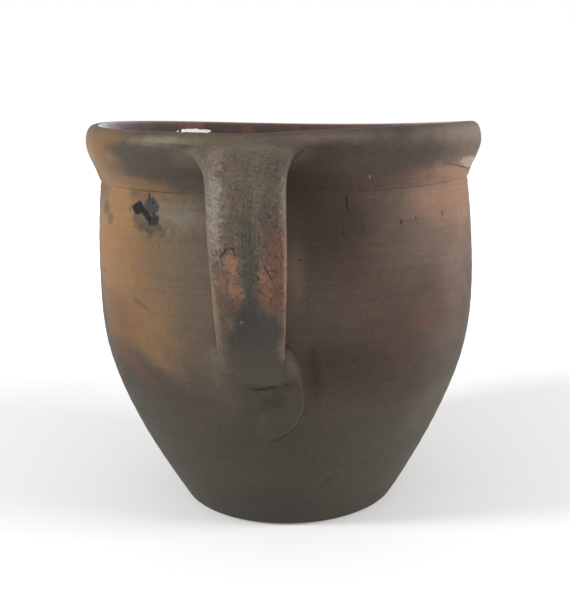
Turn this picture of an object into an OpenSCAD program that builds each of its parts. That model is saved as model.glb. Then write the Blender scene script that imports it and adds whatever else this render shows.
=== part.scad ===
// A wheel-thrown redware crock with one strap handle, glazed inside only.
// Z is up, the axis of the pot is Z, the pot rests on Z = 0 and the handle points to -Y.
// All lengths are millimetres and all angles are degrees.

/* [Thrown body] */
// Height from the resting face to the crest of the rim
crock_h = 215; // [195:1:240]
// Diameter over the rolled rim at its widest line
rim_d = 220; // [214:1:236]
// Diameter of the crest, the highest line of the rim
crest_d = 209; // [204:0.5:212]
// Radial thickness of the rolled rim
rim_roll_t = 11.5; // [9:0.5:14]
// Drop from the crest to the widest line of the rim
rim_roll_drop = 9.5; // [7:0.5:13]
// Diameter at the tooled line between neck and shoulder
neck_d = 206.5; // [200:0.5:212]
// Drop from the crest to that tooled line
neck_drop = 29.5; // [24:0.5:36]
// Angle by which the neck flares out above the tooled line
neck_flare = 20; // [10:1:28]
// Greatest diameter of the belly
belly_d = 213; // [208:1:230]
// Height of the belly's widest line above the resting face
belly_z = 131; // [110:1:150]
// Diameter of the flat face that the pot rests on
foot_d = 114; // [100:1:130]
// Radius worn on the edge of the foot
foot_edge_r = 7; // [3:0.5:10]
// Angle by which the lower wall leans out from the foot
foot_lean = 31; // [24:1:38]

/* [Walls] */
// Wall thickness at the belly
belly_wall_t = 7; // [5:0.5:10]
// Wall thickness at the neck
neck_wall_t = 7; // [5:0.5:10]
// Thickness of the floor
floor_t = 9; // [6:0.5:14]
// Diameter of the flat middle of the floor, inside
floor_flat_d = 72; // [50:1:90]
// Thickness of the glaze that lines the inside
glaze_t = 0.4; // [0.2:0.1:1]
// Width of the tooled line below the neck
tool_line_w = 1.6; // [0.8:0.2:3]
// Depth of the tooled line below the neck
tool_line_depth = 0.6; // [0.3:0.1:1.2]

/* [Strap handle] */
// How far the outer face of the strap stands out from the widest line of the rim
handle_stand = 26; // [20:1:36]
// Drop from the crest to the middle of the strap where it leaves the rim
handle_root_drop = 10; // [9:0.5:14]
// Drop from the crest to the point where the strap turns straight down
handle_turn_drop = 33; // [28:1:45]
// Height of the strap's lower end above the resting face
handle_foot_z = 94; // [80:1:110]
// Width that the strap's flare runs out to inside the rim
strap_root_w = 70; // [54:1:78]
// Width of the strap just below its shoulder
strap_w = 35.5; // [28:0.5:44]
// Width of the strap at its lower end
strap_foot_w = 31; // [24:0.5:40]
// Thickness of the strap
strap_t = 9.5; // [7:0.5:13]
// Thickness of the strap where it leaves the rim
strap_root_t = 13; // [10:0.5:16]
// Depth of the thumb channel down the middle of the strap
channel_depth = 1.3; // [0:0.1:2.5]
// Half width of that thumb channel
channel_half_w = 5.5; // [3:0.5:9]

/* [Thumbed terminal] */
// Width of the clay spread on the wall below the strap
pad_w = 34; // [26:1:44]
// Height of the clay spread on the wall
pad_h = 45; // [34:1:56]
// Height of the middle of the spread clay above the resting face
pad_z = 86; // [72:1:96]
// How far the spread clay leans to the right of the strap
pad_shift = 4.5; // [-6:0.5:8]
// Thickness of the spread clay
pad_t = 4.5; // [3:0.5:7]
// Thickness left at the edge of the spread clay
pad_edge_t = 0.8; // [0.4:0.1:1.5]
// Radius of the thumb print
thumb_r = 15; // [10:0.5:20]
// Depth of the thumb print
thumb_depth = 3; // [1:0.5:4]
// How far the thumb print lies to the right of the strap
thumb_shift = 7; // [-4:0.5:12]
// Height of the middle of the thumb print above the resting face
thumb_z = 83; // [74:0.5:90]

/* [Hidden] */

fired_clay = [0.40, 0.33, 0.27];
brown_glaze = [0.20, 0.07, 0.05];
worn_clay = [0.45, 0.30, 0.22];

// Heights and radii that follow from the sizes above
neck_z = crock_h - neck_drop;
rim_wide_z = crock_h - rim_roll_drop;
foot_r = foot_d / 2;
belly_r = belly_d / 2;
neck_r = neck_d / 2;
rim_r = rim_d / 2;
crest_r = crest_d / 2;
mouth_r = rim_r - rim_roll_t;
inner_neck_r = neck_r - neck_wall_t;
inner_belly_r = belly_r - belly_wall_t;
floor_flat_r = floor_flat_d / 2;

// A cubic curve through p[0] and p[3], pulled towards p[1] and p[2]
function bezier_at(p, t) =
    pow(1 - t, 3) * p[0] + 3 * pow(1 - t, 2) * t * p[1] + 3 * (1 - t) * t * t * p[2] + pow(t, 3) * p[3];
function bezier(p, steps, first = 0) = [for (i = [first:steps]) bezier_at(p, i / steps)];

// A curve from a to b that leaves along angle lean_a and arrives along lean_b, both measured from vertical.
// pull_a and pull_b are shares of the distance between the ends.
function lean_dir(lean) = [sin(lean), cos(lean)];
function swing(a, b, lean_a, lean_b, pull_a, pull_b) =
    let (span = norm(b - a))
    [a, a + pull_a * span * lean_dir(lean_a), b - pull_b * span * lean_dir(lean_b), b];

// Outer profile, from the edge of the resting face up to the crest
foot_arc = [for (a = [-90:6:-foot_lean - 1]) [foot_r + foot_edge_r * cos(a), foot_edge_r * (1 + sin(a))]];
wall_start = [foot_r + foot_edge_r * cos(foot_lean), foot_edge_r * (1 - sin(foot_lean))];
belly_point = [belly_r, belly_z];
line_low = [neck_r, neck_z - tool_line_w / 2];
line_mid = [neck_r - tool_line_depth, neck_z];
line_high = [neck_r, neck_z + tool_line_w / 2];
rim_wide = [rim_r, rim_wide_z];
crest = [crest_r, crock_h];
roll_round = 0.62;
outer_profile = concat(
    foot_arc,
    bezier(swing(wall_start, belly_point, foot_lean, 0, 0.605, 0.23), 22),
    bezier(swing(belly_point, line_low, 0, -6, 0.45, 0.3), 10, 1),
    [line_mid],
    bezier(swing(line_high, rim_wide, neck_flare, 0, 0.5, 0.25), 8),
    bezier([rim_wide, rim_wide + [0, roll_round * rim_roll_drop],
            crest + [roll_round * (rim_r - crest_r), 0], crest], 8, 1)
);

// Inner profile, from the crest down to the middle of the floor
mouth_point = [mouth_r, crock_h - 0.85 * rim_roll_drop];
inner_neck_point = [inner_neck_r, neck_z];
inner_belly_point = [inner_belly_r, belly_z];
floor_point = [floor_flat_r, floor_t];
floor_corner_pull = 0.41;
inner_profile = concat(
    bezier([crest, crest - [roll_round * (crest_r - mouth_r), 0],
            mouth_point + [0, roll_round * (crock_h - mouth_point[1])], mouth_point], 6, 1),
    bezier(swing(mouth_point, inner_neck_point, 180, 180, 0.4, 0.4), 6, 1),
    bezier(swing(inner_neck_point, inner_belly_point, 180, 180, 0.4, 0.4), 8, 1),
    bezier([inner_belly_point, inner_belly_point - [0, 0.49 * (belly_z - floor_t)],
            floor_point + [floor_corner_pull * (inner_belly_r - floor_flat_r), 0], floor_point], 22, 1),
    [[0, floor_t]]
);

// The part of the inner profile that is glazed starts just inside the crest
glaze_first = 2;
glazed_line = [for (i = [glaze_first:len(inner_profile) - 1]) inner_profile[i]];

// Each point of the glazed line moved off the clay, square to the line
function off_clay(line, i) =
    let (
        last = len(line) - 1,
        run = line[min(i + 1, last)] - line[max(i - 1, 0)],
        square_to = [run[1], -run[0]] / norm(run)
    )
    i == last ? line[last] + [0, glaze_t] : line[i] + glaze_t * square_to;

module crock_body() {
    color(fired_clay)
        rotate_extrude($fn = 180)
            polygon(concat([[0, 0]], outer_profile, inner_profile));
}

module glaze_lining() {
    last = len(glazed_line) - 1;
    color(brown_glaze)
        rotate_extrude($fn = 180)
            polygon(concat(glazed_line, [for (i = [last:-1:0]) off_clay(glazed_line, i)]));
}

// Everything inside the outer wall, which the luted pieces are cut to
module wall_envelope() {
    rotate_extrude($fn = 180)
        polygon(concat([[0, 0]], outer_profile, [[0, crock_h]]));
}

// Radius of the outer wall at a height, read off the outer profile
function wall_r(z) = lookup(z, [for (p = outer_profile) [p[1], p[0]]]);

// The line down the middle of the strap, as [distance from the axis, height]
strap_root = [rim_r - 8, crock_h - handle_root_drop];
strap_turn = [rim_r + handle_stand - strap_t / 2, crock_h - handle_turn_drop];
strap_foot = [wall_r(handle_foot_z) + 0.5, handle_foot_z];
foot_in_lean = 12;
strap_line = concat(
    bezier([strap_root, strap_root + [17, 0.5], strap_turn + [0, 15], strap_turn], 10),
    bezier(swing(strap_turn, strap_foot, 180, 180 + foot_in_lean, 0.5, 0.3), 18, 1)
);

// How far along the strap a ring lies, from 0 at the rim to 1 at the foot
function run_to(line, i) = i == 0 ? 0 : norm(line[i] - line[i - 1]) + run_to(line, i - 1);
strap_len = run_to(strap_line, len(strap_line) - 1);

// Width and thickness of the strap at a distance s from its root
flare_len = 15;
function strap_width(s) =
    strap_w + (strap_foot_w - strap_w) * s / strap_len + (strap_root_w - strap_w) * exp(-pow(s / flare_len, 1.4));
foot_thin_len = 34;
strap_foot_t = 6;
function strap_thickness(s) =
    strap_t + (strap_root_t - strap_t) * exp(-pow(s / 16, 2))
    + (strap_foot_t - strap_t) * exp(-pow((strap_len - s) / foot_thin_len, 2));

// Cross-section of the strap: a rounded bar with two ridges and a channel between them on the outer face
section_points = 28;
function rounded(c, power) = sign(c) * pow(abs(c), power);
function strap_section(w, t, channel) = [
    for (i = [0:section_points - 1])
        let (
            a = 360 * (i + 0.5) / section_points,
            across = w / 2 * rounded(cos(a), 0.72),
            out = t / 2 * rounded(sin(a), 0.62),
            dip = out > 0 ? channel * exp(-pow(across / channel_half_w, 2)) : 0
        )
        [across, out - dip]
];

// Places a ring of section points square to the strap's line
function ring_at(line, i) =
    let (
        last = len(line) - 1,
        run = line[min(i + 1, last)] - line[max(i - 1, 0)],
        outward = [-run[1], run[0]] / norm(run),
        s = run_to(line, i),
        channel = channel_depth * min(1, max(0, (s - 14) / 22)) * min(1, max(0, (strap_len - s) / 26))
    )
    [for (p = strap_section(strap_width(s), strap_thickness(s), channel))
        let (q = line[i] + p[1] * outward)
        [p[0], -q[0], q[1]]];

// A closed tube of triangles through equal rings of points, fanned shut at both ends
module loft(rings) {
    n = len(rings[0]);
    last = len(rings) - 1;
    centre_a = (last + 1) * n;
    centre_b = centre_a + 1;
    points = concat([for (r = rings) each r], [ring_centre(rings[0]), ring_centre(rings[last])]);
    sides = [
        for (k = [0:last - 1], j = [0:n - 1])
            let (a = k * n + j, b = k * n + (j + 1) % n)
            each [[a, b + n, b], [a, a + n, b + n]]
    ];
    ends = [
        for (j = [0:n - 1])
            let (k = (j + 1) % n)
            each [[centre_a, j, k], [centre_b, last * n + k, last * n + j]]
    ];
    polyhedron(points, concat(sides, ends), convexity = 6);
}
function ring_centre(ring) = [for (axis = [0:2]) sum([for (p = ring) p[axis]]) / len(ring)];
function sum(v, i = 0) = i == len(v) ? 0 : v[i] + sum(v, i + 1);

module strap_solid() {
    loft([for (i = [0:len(strap_line) - 1]) ring_at(strap_line, i)]);
}

module strap_handle() {
    color(worn_clay)
        difference() {
            strap_solid();
            wall_envelope();
        }
}

// The clay spread on the wall below the strap: an oval cap laid on the wall, with a thumb print in it
pad_rings = 7;
pad_segments = 36;
pad_sink = 2;
function pad_point(share, a, lift) =
    let (
        x = pad_shift + pad_w / 2 * share * rounded(cos(a), 0.8),
        z = pad_z + pad_h / 2 * share * rounded(sin(a), 0.85),
        away = sqrt(pow((x - thumb_shift) / thumb_r, 2) + pow((z - thumb_z) / thumb_r, 2)),
        print = thumb_depth * exp(-pow(away, 2) * 1.6),
        proud = pad_edge_t + (pad_t - pad_edge_t) * pow(1 - pow(share, 3), 0.8) - print * (1 - pow(share, 4)),
        r = wall_r(z) + (lift > 0 ? max(proud, pad_edge_t) : -pad_sink)
    )
    [x, -sqrt(r * r - x * x), z];

module thumbed_pad() {
    top = [for (k = [pad_rings:-1:1]) [for (j = [0:pad_segments - 1]) pad_point(k / pad_rings, 360 * j / pad_segments, 1)]];
    under = [for (k = [1:pad_rings]) [for (j = [0:pad_segments - 1]) pad_point(k / pad_rings, 360 * j / pad_segments, -1)]];
    loft(concat(under, top));
}

module thumbed_terminal() {
    color(fired_clay)
        difference() {
            thumbed_pad();
            wall_envelope();
            strap_solid();
        }
}

crock_body();
glaze_lining();
strap_handle();
thumbed_terminal();
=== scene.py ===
"""Models and finishes a one-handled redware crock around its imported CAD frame.

The pot stands on Z = 0 with its axis on Z, and the handle points to -Y. Lengths are metres.
"""

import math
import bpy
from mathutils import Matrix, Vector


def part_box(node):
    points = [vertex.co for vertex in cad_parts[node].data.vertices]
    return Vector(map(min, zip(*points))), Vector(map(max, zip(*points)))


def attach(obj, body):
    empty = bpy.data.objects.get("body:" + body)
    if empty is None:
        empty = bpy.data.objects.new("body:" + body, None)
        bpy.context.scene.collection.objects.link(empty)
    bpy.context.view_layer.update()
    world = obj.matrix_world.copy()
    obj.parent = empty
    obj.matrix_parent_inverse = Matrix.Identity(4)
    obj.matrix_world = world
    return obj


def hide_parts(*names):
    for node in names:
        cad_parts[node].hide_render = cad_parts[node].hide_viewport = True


bl_info = {
    "name": "Redware crock",
    "version": (1, 0, 0),
    "blender": (4, 5, 0),
    "location": "View3D > Sidebar > Crock",
    "description": "Throws, glazes and handles a redware crock around its CAD frame",
    "category": "Object",
}

from collections import namedtuple

import bpy
import numpy as np
from mathutils import Matrix, Vector, noise

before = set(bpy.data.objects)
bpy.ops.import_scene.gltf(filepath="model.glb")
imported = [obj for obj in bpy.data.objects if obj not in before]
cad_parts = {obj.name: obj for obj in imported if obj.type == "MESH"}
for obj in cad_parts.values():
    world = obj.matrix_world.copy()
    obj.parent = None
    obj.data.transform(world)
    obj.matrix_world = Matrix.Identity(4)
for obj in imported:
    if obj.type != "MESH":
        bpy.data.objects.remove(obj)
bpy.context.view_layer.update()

MM = 0.001
BODY_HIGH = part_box("crock_body")[1]


# Profile of the thrown body


def lean(degrees):
    """Unit step that leans outwards by that angle from straight up."""
    return np.array([math.sin(math.radians(degrees)), math.cos(math.radians(degrees))])


def swing(start, end, lean_out, lean_in, pull_out, pull_in):
    """Four control points of a curve that leaves start and reaches end along the given leans."""
    start, end = np.array(start, float), np.array(end, float)
    span = np.linalg.norm(end - start)
    return np.array([start, start + pull_out * span * lean(lean_out), end - pull_in * span * lean(lean_in), end])


def split(curve, parts):
    """The same curve as several joined ones, so that it gets more points."""
    pieces = []
    for k in range(parts):
        share = 1 / (parts - k)
        a, b, c, d = curve
        ab, bc, cd = a + share * (b - a), b + share * (c - b), c + share * (d - c)
        abc, bcd = ab + share * (bc - ab), bc + share * (cd - bc)
        middle = abc + share * (bcd - abc)
        pieces.append(np.array([a, ab, abc, middle]))
        curve = np.array([middle, bcd, cd, d])
    return pieces


def along(curve, t):
    """Points of a cubic curve at the shares t of its length parameter."""
    t = np.asarray(t, float)[:, None]
    a, b, c, d = curve
    return (1 - t) ** 3 * a + 3 * (1 - t) ** 2 * t * b + 3 * (1 - t) * t**2 * c + t**3 * d


CREST_Z = BODY_HIGH.z
RIM_R = BODY_HIGH.x
CREST_R = RIM_R - 5.5 * MM
MOUTH_R = RIM_R - 11.5 * MM
WIDE_Z = CREST_Z - 9.5 * MM
LINE_Z = CREST_Z - 29.5 * MM
LINE_R = 103.25 * MM
BELLY_Z = 131 * MM
BELLY_R = 106.5 * MM
FOOT_R = 57 * MM
FOOT_EDGE = 7 * MM
FOOT_LEAN = 31
NECK_IN_R = 96.25 * MM
BELLY_IN_R = 99.5 * MM
FLOOR_Z = 9 * MM
FLOOR_R = 36 * MM
ROLL = 0.62
GLAZE_THICKNESS = 0.4 * MM

wall_start = np.array([FOOT_R, FOOT_EDGE]) + FOOT_EDGE * np.array(
    [math.cos(math.radians(FOOT_LEAN)), -math.sin(math.radians(FOOT_LEAN))]
)
belly = (BELLY_R, BELLY_Z)
line = (LINE_R, LINE_Z)
rim_wide = np.array([RIM_R, WIDE_Z])
crest = np.array([CREST_R, CREST_Z])
mouth = np.array([MOUTH_R, CREST_Z - 8 * MM])
belly_in = np.array([BELLY_IN_R, BELLY_Z])
floor_edge = np.array([FLOOR_R, FLOOR_Z])

FOOT_FACE = swing((0, 0), (FOOT_R, 0), 90, 90, 1 / 3, 1 / 3)
FOOT_CORNER = swing((FOOT_R, 0), wall_start, 90, FOOT_LEAN, 0.357, 0.357)
LOWER_WALL = swing(wall_start, belly, FOOT_LEAN, 0, 0.605, 0.23)
SHOULDER = swing(belly, line, 0, -6, 0.45, 0.3)
NECK = swing(line, rim_wide, 17, 0, 0.5, 0.25)
RIM_OUTSIDE = np.array(
    [rim_wide, rim_wide + [0, ROLL * (CREST_Z - WIDE_Z)], crest + [ROLL * (RIM_R - CREST_R), 0], crest]
)
RIM_INSIDE = np.array(
    [crest, crest - [ROLL * (CREST_R - MOUTH_R), 0], mouth + [0, ROLL * (CREST_Z - mouth[1])], mouth]
)
NECK_INSIDE = swing(mouth, (NECK_IN_R, LINE_Z), 180, 180, 0.4, 0.4)
UPPER_INSIDE = swing((NECK_IN_R, LINE_Z), belly_in, 180, 180, 0.4, 0.4)
LOWER_INSIDE = np.array(
    [belly_in, belly_in - [0, 0.49 * (BELLY_Z - FLOOR_Z)], floor_edge + [0.41 * (BELLY_IN_R - FLOOR_R), 0], floor_edge]
)
FLOOR_INSIDE = swing(floor_edge, (0, FLOOR_Z), -90, -90, 1 / 3, 1 / 3)

OUTSIDE = [FOOT_CORNER, LOWER_WALL, SHOULDER, NECK, RIM_OUTSIDE]
outside_points = np.concatenate([along(curve, np.linspace(0, 1, 60)) for curve in OUTSIDE])


# Unevenness of a pot thrown and handled by hand


def rim_sag(angle, height, shape):
    """How far the soft rim has sunk or risen, as a share that grows towards the crest."""
    near_rim = np.clip((height / CREST_Z - 0.6) / 0.4, 0, 1) ** 2
    turned = angle - math.radians(shape.sag_turn)
    tilt = shape.tilt_side * np.cos(turned) + shape.tilt_front * np.sin(turned)
    saddle = shape.saddle * np.cos(2 * turned) + shape.saddle_skew * np.sin(2 * turned)
    under_handle = shape.handle_dip * np.exp(-(((angle + 0.02) / 0.17) ** 2))
    return near_rim * (shape.lift + tilt + saddle - under_handle)


def lumps(points, size, seed):
    """Smooth noise from -1 to 1 at the points, with lumps of about that size."""
    shift = Vector((seed * 7.3, seed * 3.1, seed * 5.7))
    return np.array([noise.noise(Vector(p) / size + shift) for p in points])


def wall_marks(angle, height, points, shape):
    """Radial step of the outer wall: soft dents, throwing ridges and the tooled line."""
    turns = angle / (2 * math.pi)
    ridge = np.sin(2 * math.pi * (height / shape.ridge_pitch + turns))
    fine = np.sin(2 * math.pi * (height / (0.37 * shape.ridge_pitch) + turns + 0.3))
    faint = 0.5 + 0.5 * lumps(points, 45 * MM, 3)
    dents = shape.dents * lumps(points, 70 * MM, 1) + 0.3 * shape.dents * lumps(points, 22 * MM, 2)
    groove_z = LINE_Z + 0.5 * MM * np.sin(2 * angle + 1)
    groove = np.exp(-(((height - groove_z) / (0.75 * MM)) ** 2))
    second = 0.45 * np.exp(-(((height - groove_z + 3.6 * MM) / (0.8 * MM)) ** 2))
    return shape.ridge_depth * faint * (ridge + 0.35 * fine) + dents - shape.groove_depth * (groove + second)


def inside_marks(angle, height, points, shape):
    """Radial step of the inner wall: the finger rings that throwing leaves."""
    turns = angle / (2 * math.pi)
    ring = np.sin(2 * math.pi * (height / (1.5 * shape.ridge_pitch) + turns))
    faint = 0.6 + 0.4 * lumps(points, 60 * MM, 5)
    return 1.8 * shape.ridge_depth * faint * ring + 0.6 * shape.dents * lumps(points, 50 * MM, 4)


def mesh_points(mesh):
    """A mesh's vertex places as rows."""
    co = np.zeros(len(mesh.vertices) * 3)
    mesh.vertices.foreach_get("co", co)
    return co.reshape(-1, 3)


def set_mesh_points(mesh, co):
    """Moves a mesh's vertices to the rows of co."""
    mesh.vertices.foreach_set("co", np.asarray(co, float).ravel())
    mesh.update()


def wall_radius(height):
    """Radius of the outer wall at a height, before any unevenness."""
    return np.interp(height, outside_points[:, 1], outside_points[:, 0])


def on_wall(x, height, proud, shape):
    """Points that far proud of the front of the uneven outer wall, at x and at a thrown height."""
    x, height = np.broadcast_arrays(np.asarray(x, float), np.asarray(height, float))
    radius = wall_radius(height)
    y = -np.sqrt(np.maximum(radius**2 - x**2, 1e-8))
    flat = np.stack([x, y, height], -1).reshape(-1, 3)
    angle = np.arctan2(flat[:, 0], -flat[:, 1])
    radius = radius.ravel() + wall_marks(angle, flat[:, 2], flat, shape) + np.asarray(proud, float).ravel()
    placed = np.stack(
        [radius * np.sin(angle), -radius * np.cos(angle), flat[:, 2] + rim_sag(angle, flat[:, 2], shape)], -1
    )
    return placed.reshape(x.shape + (3,))


# Work in the edit and object modes


def only(piece):
    """Makes one object active and the only one selected."""
    bpy.ops.object.select_all(action="DESELECT")
    piece.select_set(True)
    bpy.context.view_layer.objects.active = piece


def clear_selection():
    """Leaves object mode with nothing selected."""
    if bpy.context.object and bpy.context.object.mode != "OBJECT":
        bpy.ops.object.mode_set(mode="OBJECT")
    bpy.ops.object.select_all(action="DESELECT")


def draw_chain(name, curves, steps):
    """Draws joined cubic curves in the XZ plane as a Bezier curve and converts it to a chain of edges."""
    clear_selection()
    bpy.ops.curve.primitive_bezier_curve_add(location=(0, 0, 0))
    drawn = bpy.context.object
    drawn.name = name
    drawn.data.resolution_u = steps
    spline = drawn.data.splines[0]
    spline.bezier_points.add(len(curves) - 1)
    for k, knot in enumerate(spline.bezier_points):
        knot.handle_left_type = knot.handle_right_type = "FREE"
        here = curves[k][0] if k < len(curves) else curves[-1][3]
        before = curves[k - 1][2] if k > 0 else here
        after = curves[k][1] if k < len(curves) else here
        knot.co = (here[0], 0, here[1])
        knot.handle_left = (before[0], 0, before[1])
        knot.handle_right = (after[0], 0, after[1])
    bpy.ops.object.convert(target="MESH")
    return bpy.context.object


def spin_round(piece, steps):
    """Turns the active chain of edges round the pot's axis into a closed skin that faces outwards."""
    only(piece)
    bpy.ops.object.mode_set(mode="EDIT")
    bpy.ops.mesh.select_all(action="SELECT")
    bpy.ops.mesh.spin(steps=steps, angle=2 * math.pi, center=(0, 0, 0), axis=(0, 0, 1))
    bpy.ops.mesh.select_all(action="SELECT")
    bpy.ops.mesh.remove_doubles(threshold=0.02 * MM)
    bpy.ops.mesh.normals_make_consistent(inside=False)
    bpy.ops.object.mode_set(mode="OBJECT")


def loft(name, rings):
    """Extrudes a circle ring by ring through the given rings of points and closes both ends.

    Gives the piece and the place of each ring point among its vertices."""
    clear_selection()
    count = len(rings[0])
    bpy.ops.mesh.primitive_circle_add(vertices=count, radius=1, fill_type="NOTHING", location=(0, 0, 0))
    piece = bpy.context.object
    piece.name = piece.data.name = name
    bpy.ops.object.mode_set(mode="EDIT")
    bpy.ops.mesh.select_all(action="SELECT")
    bpy.ops.mesh.edge_face_add()
    for _ in rings[1:]:
        bpy.ops.mesh.extrude_region_move(TRANSFORM_OT_translate={"value": (0, 0, 1)})
    bpy.ops.object.mode_set(mode="OBJECT")
    co = mesh_points(piece.data)
    order = np.lexsort((np.arctan2(co[:, 1], co[:, 0]).round(5), co[:, 2].round(3)))
    co[order] = np.concatenate(rings)
    set_mesh_points(piece.data, co)
    bpy.ops.object.mode_set(mode="EDIT")
    bpy.ops.mesh.select_all(action="SELECT")
    bpy.ops.mesh.normals_make_consistent(inside=False)
    bpy.ops.object.mode_set(mode="OBJECT")
    return piece, order


def smooth(piece):
    """Shades the whole piece smooth."""
    only(piece)
    bpy.ops.object.shade_smooth()


def keep_marks(piece, name, kind, values):
    """Stores one value or vector for each vertex, for a material to follow."""
    layer = piece.data.attributes.new(name, kind, "POINT")
    key = "value" if kind == "FLOAT" else "vector"
    layer.data.foreach_set(key, np.asarray(values, np.float32).ravel())


# The wall's height before the rim sagged, on each vertex
HEIGHT_MARK = "thrown_height"
# Painted shade along the edge of the thumbed clay and in its crease
PAINTED_SHADE_MARK = "settled_smoke"
# Across the strap, along it, and from 0 at its edges to 1 on its outer face
STRAP_MARK = "pulled"
# Radius at which arcs round the pot are measured
ARC_R = 105 * MM


def hand_over(piece, node):
    """Puts a finished piece on the pot in place of its CAD node."""
    smooth(piece)
    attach(piece, "root")
    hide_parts(node)


# Shader node helpers


def add_node(tree, kind, inputs=None, **settings):
    """Adds a shader node, sets its properties, and links or sets its inputs by name or place."""
    node = tree.nodes.new("ShaderNode" + kind)
    for key, value in settings.items():
        setattr(node, key, value)
    for key, value in (inputs or {}).items():
        socket = node.inputs[key]
        if isinstance(value, bpy.types.NodeSocket):
            tree.links.new(value, socket)
        else:
            socket.default_value = value
    return node


def calc(tree, operation, a, b=0.5, clamp=False):
    """One Math node's result."""
    return add_node(tree, "Math", {0: a, 1: b}, operation=operation, use_clamp=clamp).outputs[0]


def vector_calc(tree, operation, a, b=(0, 0, 0)):
    """One Vector Math node's vector result."""
    return add_node(tree, "VectorMath", {0: a, 1: b}, operation=operation).outputs["Vector"]


def blend_colour(tree, share, below, above, mode="MIX"):
    """Lays one colour over another by a share."""
    node = add_node(tree, "Mix", data_type="RGBA", blend_type=mode)
    for place, value in ((0, share), (6, below), (7, above)):
        if isinstance(value, bpy.types.NodeSocket):
            tree.links.new(value, node.inputs[place])
        else:
            node.inputs[place].default_value = value
    return node.outputs[2]


def remap(tree, value, low, high, to_low=0.0, to_high=1.0):
    """Stretches a value smoothly from one range to another and holds it at the ends."""
    return add_node(
        tree,
        "MapRange",
        {"Value": value, "From Min": low, "From Max": high, "To Min": to_low, "To Max": to_high},
        interpolation_type="SMOOTHSTEP",
    ).outputs["Result"]


def noise_value(tree, where, scale, detail=2.0, rough=0.5, dimensions="3D"):
    """A noise texture's value, from 0 to 1."""
    return add_node(
        tree, "TexNoise", {"Vector": where, "Scale": scale, "Detail": detail, "Roughness": rough},
        noise_dimensions=dimensions,
    ).outputs["Fac"]


def new_group(name, inputs, outputs):
    """Starts a shader node group with named sockets and returns its tree, its inputs and its output node."""
    tree = bpy.data.node_groups.new(name, "ShaderNodeTree")
    kinds = {"value": "NodeSocketFloat", "vector": "NodeSocketVector", "colour": "NodeSocketColor"}
    for label, kind, default in inputs:
        socket = tree.interface.new_socket(label, in_out="INPUT", socket_type=kinds[kind])
        if default is not None:
            socket.default_value = default
    for label, kind in outputs:
        tree.interface.new_socket(label, in_out="OUTPUT", socket_type=kinds[kind])
    source = tree.nodes.new("NodeGroupInput")
    sink = tree.nodes.new("NodeGroupOutput")
    return tree, source.outputs, sink


def use_group(tree, group, inputs):
    """Places a node group in a tree and links or sets its inputs."""
    node = tree.nodes.new("ShaderNodeGroup")
    node.node_tree = group
    for key, value in inputs.items():
        if isinstance(value, bpy.types.NodeSocket):
            tree.links.new(value, node.inputs[key])
        else:
            node.inputs[key].default_value = value
    return node.outputs


# Sizes and colours that a user would change


class CrockThrowing(bpy.types.PropertyGroup):
    """How unevenly the pot was thrown"""

    tilt_side: bpy.props.FloatProperty(
        name="Rim tilt to the side", description="Half the rim's rise from one side to the other",
        default=-1.35 * MM, unit="LENGTH",
    )
    tilt_front: bpy.props.FloatProperty(
        name="Rim tilt to the back", description="Half the rim's rise from the front to the back",
        default=1.4 * MM, unit="LENGTH",
    )
    saddle: bpy.props.FloatProperty(
        name="Rim saddle", description="How far the sides of the rim stand above its front and back",
        default=1.2 * MM, unit="LENGTH",
    )
    saddle_skew: bpy.props.FloatProperty(
        name="Rim saddle skew", description="The same between the diagonals", default=-1.2 * MM, unit="LENGTH",
    )
    lift: bpy.props.FloatProperty(
        name="Rim lift", description="How far the whole rim stands above its drawn height",
        default=0.55 * MM, unit="LENGTH",
    )
    handle_dip: bpy.props.FloatProperty(
        name="Dip at the handle", description="How far the strap pulled the rim down at its root",
        default=0.9 * MM, unit="LENGTH",
    )
    sag_turn: bpy.props.FloatProperty(
        name="Sag direction", description="Degrees from the handle to the side that the tilt is measured from",
        default=97.5,
    )
    ridge_pitch: bpy.props.FloatProperty(
        name="Throwing ridge pitch", description="Rise of the throwing ridges in one turn",
        default=8.5 * MM, unit="LENGTH",
    )
    ridge_depth: bpy.props.FloatProperty(
        name="Throwing ridge depth", description="Half the depth of the ridges on the outside",
        default=0.1 * MM, unit="LENGTH",
    )
    dents: bpy.props.FloatProperty(
        name="Dents", description="Depth of the soft dents in the wall", default=0.55 * MM, unit="LENGTH",
    )
    groove_depth: bpy.props.FloatProperty(
        name="Tooled line depth", description="Depth of the tooled line below the neck",
        default=0.35 * MM, unit="LENGTH",
    )
    turns: bpy.props.IntProperty(name="Steps round", description="Faces round the pot", default=352)


class CrockStrap(bpy.types.PropertyGroup):
    """Shape of the pulled strap"""

    stand: bpy.props.FloatProperty(
        name="Stand", description="How far the strap stands out from the rim", default=26 * MM, unit="LENGTH",
    )
    half_left: bpy.props.FloatProperty(
        name="Left half width", description="From the middle line to the left edge", default=17 * MM, unit="LENGTH",
    )
    half_right: bpy.props.FloatProperty(
        name="Right half width", description="From the middle line to the right edge", default=18 * MM,
        unit="LENGTH",
    )
    thickness: bpy.props.FloatProperty(
        name="Thickness", description="Thickness of the strap", default=9.5 * MM, unit="LENGTH",
    )
    channel: bpy.props.FloatProperty(
        name="Channel", description="Depth of the channel down the middle", default=1.5 * MM, unit="LENGTH",
    )
    foot_z: bpy.props.FloatProperty(
        name="Foot height", description="Height of the strap's lower end", default=93.5 * MM, unit="LENGTH",
    )


def paint(red, green, blue):
    """A colour given by its screen values, 0 to 255, on the linear scale that shaders use."""

    def straight(value):
        value /= 255
        return value / 12.92 if value <= 0.04045 else ((value + 0.055) / 1.055) ** 2.4

    return tuple(straight(value) for value in (red, green, blue)) + (1.0,)


def clay_colour(name, description, red, green, blue):
    """A colour that the user can change."""
    return bpy.props.FloatVectorProperty(
        name=name, description=description, default=paint(red, green, blue), size=4, subtype="COLOR", min=0, max=1
    )


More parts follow.
